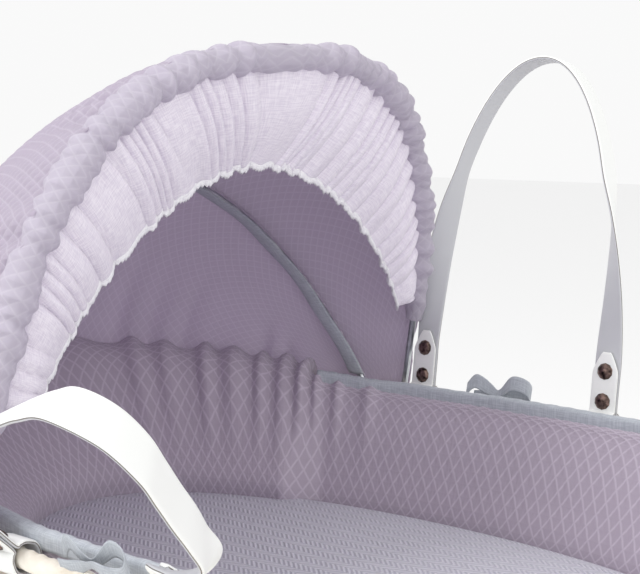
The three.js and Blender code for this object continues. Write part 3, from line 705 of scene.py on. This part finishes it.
def back_at(u, v):
    top = hoop_point(MIDDLE, share(hoop_turn(MIDDLE, PANEL_FOOT), u), CLOTH_OUT)
    top.x -= 1
    x, y = oval(BACK_OUT, back_from + (TURN - 2 * back_from) * u)
    lift = math.sin(math.pi * u) ** 0.5
    rim = Vector((x, y, RIM_LOW + RIM_LIFT * lift))
    hem = Vector((x, y, HEM_LOW + HEM_LIFT * lift))
    if v > HEM_FROM:
        return place(*rim.lerp(hem, (v - HEM_FROM) / (1 - HEM_FROM)))
    s = v / HEM_FROM
    over = top.lerp(rim, BULGE_AT) + Vector((BULGE_OUT * lift, 0, BULGE_UP * lift))
    return place(*top.lerp(over, s).lerp(over.lerp(rim, s), s))


def back_puff(u, v):
    gather = BACK_DEEP * math.sin(BACK_GATHERS * u + GATHER_SHIFT * back_wave(u))
    return gather * smooth(v, 0.3, 0.75) * (1 - smooth(v, 0.78, 0.98)) - back_diamonds(u, v)


back = bent("hood_back_cloth", back_at, 440, 108, BACK_SIZE, hood_quilt, "hood_back_panel",
            puff=back_puff, thick=1.6)
swing(back)

# %% [markdown]
# The casing is a tunnel of the same cloth, gathered on to the hoop until it ruffles. Its radius swells
# and pinches along the hoop, and each ruffle leans a little. It is wider than it is tall, because the
# cloth is drawn forwards and back.

# %% The gathered casing
CASING_FOOT, CASING_R, CASING_WIDE = 125, 9.6, 1.25
RUFFLES, CRINKLES = 150, 390
ruffle = wander(17, 12)
crinkle = wander(19, 12)


def casing_at(u, v):
    turn = share(hoop_turn(FRONT, CASING_FOOT), u)
    here = hoop_point(FRONT, turn)
    ahead = (hoop_point(FRONT, turn + 0.01) - hoop_point(FRONT, turn - 0.01)).normalized()
    side = Vector((1, 0, 0))
    side = (side - ahead * side.dot(ahead)).normalized()
    out = ahead.cross(side)
    a = TURN * v
    folds = math.sin(RUFFLES * u + 14 * ruffle(u) + 0.8 * math.sin(a)) * (0.3 + 1.1 * crinkle(2 * u))
    fine = math.sin(CRINKLES * u + 16 * crinkle(u) + math.sin(2 * a)) * ruffle(3 * u)
    ends = math.sin(math.pi * min(1, 12 * min(u, 1 - u)) / 2)
    r = (CASING_R + 2.2 * ruffle(2 * u) + 1.9 * folds + 1.3 * fine) * (0.6 + 0.4 * ends)
    return place(*(here + side * r * math.cos(a) * CASING_WIDE + out * r * math.sin(a)))


casing = bent("gathered_casing", casing_at, 900, 28, (0.95, 0.1), casing_cotton, "hood_casing",
              "hood_front", tube=True)

# %% [markdown]
# The frill is a straight strip of linen, gathered at the casing and free at its inner edge. Each fold is
# sharp where the cloth is tucked, which a plain sine is not, so the sine is raised to a power. The fold
# gets shallower on its way to the free edge.

# %% The linen frill
FRILL = dict(x=-103, lean=5.5, high=225, half=224, power=1.79)
FRILL_IN = -5                          # the gathered edge lies inside the hoop
FRILL_FOOT, FREE_FOOT = 150, 80        # where the two edges start up their curves
FOLDS, FOLD_DEEP, FREE_DEEP = 125, 4.2, 2.2
BELLY = 7
frill_wave = wander(23, 10)
frill_tuck = wander(29, 10)


def frill_edge(turn):
    y = FRILL["half"] * signed(math.cos(turn), 2 / FRILL["power"])
    up = FRILL["high"] * abs(math.sin(turn)) ** (2 / FRILL["power"])
    lean = math.radians(FRILL["lean"])
    return Vector((FRILL["x"] + up * math.sin(lean), y, up * math.cos(lean)))


def frill_at(u, v):
    outer = hoop_point(FRONT, share(hoop_turn(FRONT, FRILL_FOOT), u), FRILL_IN)
    inner = frill_edge(share(hoop_turn(FRILL, FREE_FOOT), u))
    p = outer.lerp(inner, v)
    deep = (FOLD_DEEP * (1 - v) + FREE_DEEP * v) * (0.3 + frill_tuck(2 * u))
    fold = math.sin(FOLDS * u + 16 * frill_wave(u) + 0.8 * v)
    p.x += deep * (abs(fold) ** 0.6 * 2 - 1) + BELLY * math.sin(math.pi * v)
    p.z += 1.6 * v * math.sin(150 * u + 5 * frill_wave(u))
    return place(*p)


frill = bent("linen_frill", frill_at, 640, 30, (1.1, 0.09), linen, "hood_frill", thick=0.8)
swing(frill)

# %% [markdown]
# White overlock stitching keeps the free edge from fraying. It is a flat cord along that edge, and it
# widens and narrows with each stitch.

# %% The overlocked edge
EDGE_THICK, EDGE_WIDE, STITCHES, STITCH = 1.4, 3.6, 900, 0.8


def stitch_at(u, v):
    a = TURN * v
    wide = EDGE_WIDE + STITCH * math.sin(STITCHES * u) + 0.6 * frill_wave(7 * u)
    return frill_at(u, 1) + Vector((EDGE_THICK * math.cos(a), 0, wide * math.sin(a))) * MM


stitches = bent("overlock_edge", stitch_at, 900, 8, (0.7, 0.02), thread, tube=True)
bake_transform(stitches)

# %% [markdown]
# Under the middle hoop a grey tape covers the seam between the two panels. It is sewn to the cloth and
# lies close inside the hoop, so it follows the hoop's own curve and rides on it.

# %% The tape under the middle hoop
TAPE_WIDE, TAPE_IN, TAPE_BOW, TAPE_FOOT = 17, 4.2, 1.2, 74
tape_turn = hoop_turn(MIDDLE, TAPE_FOOT)


def tape_at(u, v):
    p = hoop_point(MIDDLE, share(tape_turn, u), -TAPE_IN - TAPE_BOW * math.sin(math.pi * v))
    p.x += TAPE_WIDE * (v - 0.5) + 1.2 * math.sin(60 * u)
    return place(*p)


hoop_tape = bent("hoop_tape", tape_at, 260, 8, (0.85, 0.017), tape, "hood_tape", "hood_mid", thick=0.9)

# %% [markdown]
# ## The handles
# Each handle is one strap of two layers sewn back to back. It wraps the border, comes up as a riveted
# tab, and twists a quarter turn or more on its way to the crown. The far one stands up as an arch. The
# near one has flopped to one side, and no formula gives that, so its line is a few listed points,
# walked in even steps.

# %% The two arches
STRAP_WIDE, STRAP_THICK, LAYER = 23, 3.2, 1.8
SPACING, TAB, CROWN, SKEW = 180, 57.5, 307, 8
ARCH_POWER, ARCH_STEPS = 2.05, 20
FLOP = [(-90, TAB), (-82, 84), (-40, 128), (40, 178), (105, 213), (142, 231), (163, 238), (180, 231),
        (185, 205), (174, 166), (162, 123), (145, 92), (116, 72), (90, TAB)]
FLOP_STEPS, FINE = 24, 400


def upright():
    points = []
    for i in range(ARCH_STEPS + 1):
        t = math.pi * (1 - i / ARCH_STEPS)
        up = abs(math.sin(t)) ** (2 / ARCH_POWER)
        points.append((SPACING / 2 * signed(math.cos(t), 2 / ARCH_POWER) + SKEW * up ** 2,
                       TAB + (CROWN - TAB) * up))
    return points


def flopped():
    fine = [Vector(curve(FLOP, i / FINE)) for i in range(FINE + 1)]
    runs = [0.0]
    for a, b in zip(fine, fine[1:]):
        runs.append(runs[-1] + (b - a).length)
    goals = [runs[-1] * i / FLOP_STEPS for i in range(FLOP_STEPS + 1)]
    return [tuple(fine[min(range(FINE + 1), key=lambda k: abs(runs[k] - goal))]) for goal in goals]


print("arch points:", len(upright()), "standing,", len(flopped()), "flopped")

# %% [markdown]
# A strap is a flat section with round corners, carried along its line. At every point of the line it
# needs to know which way is across: along the basket at the tabs, and turned by the twist in between.
# The whole handle then leans out from the rim about the border's middle.

# %% Carrying a section along a strap
TWIST_OVER = 4     # points of the line over which the strap twists
LOOP_R = 11.1
axis_y = oval_y(HALF, SPACING / 2)
axis_z = -BORDER_DROP + rise(SPACING / 2, -BORDER_DROP)
WRAP = [(LOOP_R * math.cos(math.radians(135 + 45 * i)), LOOP_R * math.sin(math.radians(135 + 45 * i)))
        for i in range(7)]
TAB_END = [(-LAYER, TAB + 4), (-LAYER, 34), (-LAYER, 13.4), (-4.4, 10.7), *WRAP,
           (4.4, 10.7), (LAYER, 13.4), (LAYER, 34), (LAYER, TAB)]


def strap_rows(twist, arch):
    """The strap's middle line, and which way is across it, from one tab to the other."""
    rows = [((-SPACING / 2, y, z), (1, 0, 0)) for y, z in TAB_END]
    last = len(arch) - 1
    for i in range(1, last):
        x, z = arch[i]
        turn = math.radians(twist) * min(1, min(i, last - i) / TWIST_OVER)
        ahead = Vector((arch[i + 1][0] - arch[i - 1][0], 0, arch[i + 1][1] - arch[i - 1][1]))
        wide = ahead.normalized().cross(Vector((0, -1, 0))) * math.cos(turn)
        rows.append(((x, LAYER, z), (wide.x, math.sin(turn), wide.z)))
    rows += [((SPACING / 2, y, z), (-1, 0, 0)) for y, z in reversed(TAB_END)]
    return [r[0] for r in rows], [r[1] for r in rows]


def strap(name, node, body, side, lean, twist, arch):
    centres, widths = strap_rows(twist, arch)
    c, s = math.cos(math.radians(lean)), math.sin(math.radians(lean))

    def at(u, v):
        here = Vector(curve(centres, u))
        along = (Vector(curve(centres, min(1, u + 0.002)))
                 - Vector(curve(centres, max(0, u - 0.002)))).normalized()
        wide = Vector(curve(widths, u))
        wide = (wide - along * wide.dot(along)).normalized()
        a = TURN * v
        tip = min(1, 0.3 + 55 * min(u, 1 - u))
        p = here + wide * STRAP_WIDE / 2 * tip * signed(math.cos(a), 0.25)
        p += along.cross(wide) * STRAP_THICK / 2 * signed(math.sin(a), 0.4)
        return place(p.x, side * (axis_y + p.y * c + p.z * s), axis_z - p.y * s + p.z * c)

    return bent(name, at, 520, 20, (0.8, 0.05), leatherette, node, body, tube=True)


strap("far_strap", "handle_strap_far", "handle_far", 1, 11, 90, upright())
strap("near_strap", "handle_strap_near", "handle_near", -1, 42.6, 113, flopped())

# %% [markdown]
# ## Ribbons and webbing
# A grey ribbon is tied in a bow behind the binding on each side. A bow could be two loops and a knot, but
# at this size one ribbon that folds over itself is enough. Its points are (along, up, out).

# %% The ribbon bows
BOW = [(-30, 4, 2), (-22, 12, 5), (-8, 6, 6), (2, 4, 4), (16, 15, 3), (30, 12, 5), (31, 3, 8), (16, 1, 9),
       (2, 3, 8), (-14, -2, 9), (-27, -4, 8)]
BOW_X, RIBBON = -12, 12


def bow(name, node, side):
    base = oval_y(HALF, BOW_X) - 6

    def at(u, v):
        x, z, y = curve(BOW, u)
        pinch = 0.45 + 0.55 * min(1, abs(x) / 12)
        return place(BOW_X + x, side * (base + y + (v - 0.5) * 4), 1 + z + (v - 0.5) * RIBBON * pinch)

    piece = bent(name, at, 120, 8, (0.16, 0.012), tape, node, "basket", thick=0.5)


bow("far_bow", "ribbon_bow_far", 1)
bow("near_bow", "ribbon_bow_near", -1)

# %% [markdown]
# Two cotton webbing straps join the stand's top rails and stop it from opening too far. Each wraps a rail
# at both ends, so half of it is worked out from its own solid's box and the other half is its mirror
# image.

# %% The webbing
WRAPPED = (90, 0, -90, -160, -200)     # degrees round a rail that the webbing passes
for end in ("far", "near"):
    low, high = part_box(f"webbing_{end}")
    reach = (high[2] - low[2]) / 2 - MM
    middle = (low[2] + high[2]) / 2
    left, right = low[0] + reach + MM, high[0] - reach - MM
    turns = [math.radians(degrees) for degrees in WRAPPED]
    path = [(right + reach * math.cos(a), middle + reach * math.sin(a)) for a in turns]
    run = [(left + right - x, z) for x, z in reversed(path)] + path

    def web_at(u, v):
        x, z = curve(run, u)
        return Vector((x, low[1] + (high[1] - low[1]) * v, z))

    band = bent(f"webbing_loop_{end}", web_at, 260, 6, (0.52, 0.032), webbing, f"webbing_{end}", thick=1.8)
    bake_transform(band)

# %% [markdown]
# ## Studio
# A plain pale floor, a large soft key light from the left, a fill from the right and a bright even
# world, which keeps the white straps white without hard shadows.

# %% Floor and lights
FLOOR_HALF, WORLD_LIGHT = 8, 0.95
LIGHTS = [("key", (-1.0, -1.6, 2.6), 42, 1.4), ("fill", (2.2, -0.6, 1.8), 12, 1.8)]

bm = bmesh.new()
bmesh.ops.create_grid(bm, x_segments=1, y_segments=1, size=FLOOR_HALF)
floor_mesh = bpy.data.meshes.new("floor")
bm.to_mesh(floor_mesh)
bm.free()
floor_mesh.materials.append(finish("pale_floor", "F6F6F6", 0.9)[0])
floor = bpy.data.objects.new("floor", floor_mesh)
bpy.context.scene.collection.objects.link(floor)

world = bpy.data.worlds.new("studio")
bpy.context.scene.world = world
world.use_nodes = True
background = world.node_tree.nodes["Background"]
background.inputs["Color"].default_value = (1, 1, 1, 1)
background.inputs["Strength"].default_value = WORLD_LIGHT
for name, spot, power, size in LIGHTS:
    light = bpy.data.lights.new(name, "AREA")
    light.energy, light.size = power, size
    lamp = bpy.data.objects.new(name, light)
    lamp.location = spot
    lamp.rotation_mode = "QUATERNION"
    lamp.rotation_quaternion = (RIM - Vector(spot)).to_track_quat("-Z", "Y")
    bpy.context.scene.collection.objects.link(lamp)
print("lights:", [name for name, *_ in LIGHTS])

# %% [markdown]
# The camera stands a little above the rim, on the near side towards the foot, and leans over slightly.
# It is turned in the order a tripod is: round the upright, then tilted, then rolled.

# %% Camera
AROUND, DOWN, ROLL = 39.057, 9.922, -2.001
LENS, SENSOR = 73.94, 36

lens = bpy.data.cameras.new("camera")
lens.lens, lens.sensor_width = LENS, SENSOR
camera = bpy.data.objects.new("camera", lens)
turned = (Matrix.Rotation(math.radians(AROUND), 4, "Z")
          @ Matrix.Rotation(math.radians(90 - DOWN), 4, "X")
          @ Matrix.Rotation(math.radians(ROLL), 4, "Z"))
camera.matrix_world = Matrix.Translation(place(576.2, -732.2, 301.4)) @ turned
bpy.context.scene.collection.objects.link(camera)
bpy.context.scene.camera = camera
bpy.context.scene.view_settings.view_transform = "Standard"
print("camera at", [round(v, 3) for v in camera.matrix_world.translation])
